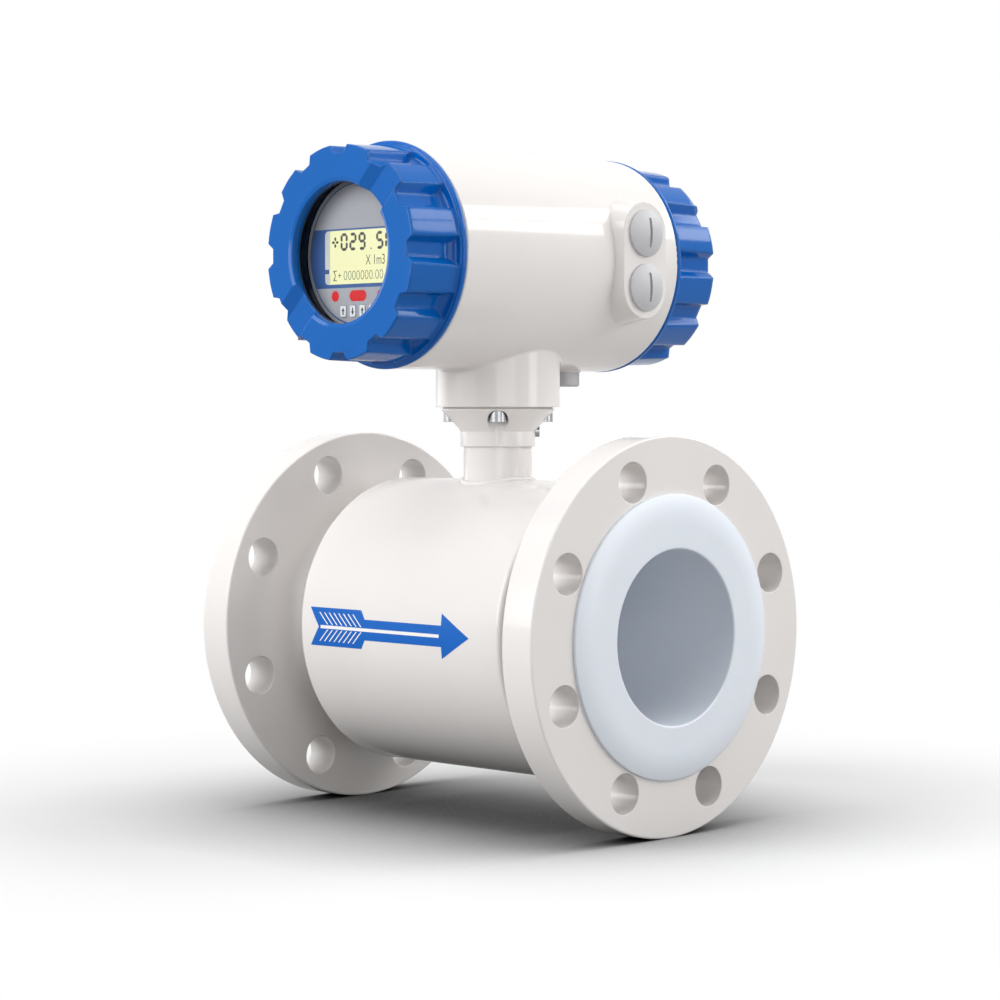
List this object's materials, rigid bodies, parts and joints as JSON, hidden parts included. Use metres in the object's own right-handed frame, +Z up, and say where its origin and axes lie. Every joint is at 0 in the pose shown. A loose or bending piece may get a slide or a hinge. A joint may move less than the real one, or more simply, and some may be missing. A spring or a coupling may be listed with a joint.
{
  "type": "electromagnetic flow meter",
  "caption": "Flanged pipe flow meter with a lined bore, a round coil housing, and a converter on a neck with a display window under a fluted screw cover.",
  "frame": {"origin": "centre of the flow bore, half-way between the two flange faces", "axes": "+X is the direction of flow along the bore, +Z points up the neck to the converter, and the display looks along -Y"},
  "size_m": [0.2824, 0.2526, 0.3919],
  "materials": {
    "housing_paint": "smooth gloss off-white paint",
    "cover_paint": "gloss blue paint",
    "liner_ptfe": "satin moulded PTFE",
    "tube_steel": "smooth gloss off-white paint on welded steel",
    "magnet_iron": "machined soft iron",
    "coil_copper": "enamelled copper winding",
    "stainless": "turned stainless steel",
    "insulator": "turned PTFE",
    "seal_rubber": "moulded rubber",
    "plug_metal": "satin nickel plate",
    "window_glass": "clear toughened glass",
    "black_plastic": "moulded black plastic",
    "fascia_film": "silver-grey printed film",
    "red_window": "moulded red plastic",
    "display_lens": "lit liquid-crystal window",
    "key_plastic": "moulded white plastic",
    "circuit_board": "solder-mask green laminate",
    "component_grey": "potted component",
    "cable_sheath": "extruded sheath"
  },
  "bodies": {
    "meter": {"measuring_tube": "tube_steel", "liner": "liner_ptfe", "inlet_flange": "housing_paint", "outlet_flange": "housing_paint", "coil_housing_shell": "housing_paint", "inlet_end_plate": "housing_paint", "outlet_end_plate": "housing_paint", "upper_pole_piece": "magnet_iron", "lower_pole_piece": "magnet_iron", "upper_coil": "coil_copper", "lower_coil": "coil_copper", "magnet_yoke": "magnet_iron", "electrodes": "stainless", "electrode_bushes": "insulator", "electrode_nuts": "stainless", "neck_pipe": "housing_paint", "neck_adapter": "housing_paint", "neck_screws": "stainless", "neck_gasket": "insulator", "neck_lock_screw": "stainless", "converter_housing": "housing_paint", "upper_conduit_plug": "plug_metal", "lower_conduit_plug": "plug_metal", "conduit_plug_seals": "seal_rubber", "earth_terminal": "plug_metal", "display_fascia": "fascia_film", "indicator_windows": "red_window", "display_lens": "display_lens", "lcd_panel": "component_grey", "display_tray": "black_plastic", "display_board": "circuit_board", "display_pillars": "component_grey", "main_board": "circuit_board", "power_board": "circuit_board", "board_standoffs": "stainless", "power_transformer": "component_grey", "capacitors": "component_grey", "signal_shield": "stainless", "cable_connector": "black_plastic", "sensor_cable": "cable_sheath", "terminal_block": "black_plastic", "terminal_screws": "stainless"},
    "front_seal_carrier": {"front_cover_seal": "seal_rubber"},
    "front_cover_body": {"front_cover": "cover_paint", "window_gasket": "seal_rubber", "window_glass": "window_glass", "window_retainer": "black_plastic"},
    "rear_seal_carrier": {"rear_cover_seal": "seal_rubber"},
    "rear_cover_body": {"rear_cover": "cover_paint"},
    "display_key_1_body": {"display_key_1": "key_plastic"},
    "display_key_2_body": {"display_key_2": "key_plastic"},
    "display_key_3_body": {"display_key_3": "key_plastic"},
    "display_key_4_body": {"display_key_4": "key_plastic"}
  },
  "joints": [
    {"name": "front_cover_travel", "type": "slide", "parent": "meter", "child": "front_seal_carrier", "axis": [0, -1, 0], "range_m": [0, 0.0121]},
    {"name": "front_cover_turn", "type": "hinge", "parent": "front_seal_carrier", "child": "front_cover_body", "pos_m": [0, 0, 0.2146], "axis": [0, -1, 0], "range_deg": [0, 1440]},
    {"name": "rear_cover_travel", "type": "slide", "parent": "meter", "child": "rear_seal_carrier", "axis": [0, 1, 0], "range_m": [0, 0.0121]},
    {"name": "rear_cover_turn", "type": "hinge", "parent": "rear_seal_carrier", "child": "rear_cover_body", "pos_m": [0, 0, 0.2146], "axis": [0, 1, 0], "range_deg": [0, 1440]},
    {"name": "display_key_1_press", "type": "slide", "parent": "meter", "child": "display_key_1_body", "axis": [0, 1, 0], "range_m": [0, 0.0008], "stiffness_N_per_m": 400, "springref_m": -0.0005},
    {"name": "display_key_2_press", "type": "slide", "parent": "meter", "child": "display_key_2_body", "axis": [0, 1, 0], "range_m": [0, 0.0008], "stiffness_N_per_m": 400, "springref_m": -0.0005},
    {"name": "display_key_3_press", "type": "slide", "parent": "meter", "child": "display_key_3_body", "axis": [0, 1, 0], "range_m": [0, 0.0008], "stiffness_N_per_m": 400, "springref_m": -0.0005},
    {"name": "display_key_4_press", "type": "slide", "parent": "meter", "child": "display_key_4_body", "axis": [0, 1, 0], "range_m": [0, 0.0008], "stiffness_N_per_m": 400, "springref_m": -0.0005}
  ],
  "couplings": [
    {"joint": "front_cover_travel", "follows": "front_cover_turn", "m_per_rad": 0.00047746},
    {"joint": "rear_cover_travel", "follows": "rear_cover_turn", "m_per_rad": 0.00047746}
  ]
}
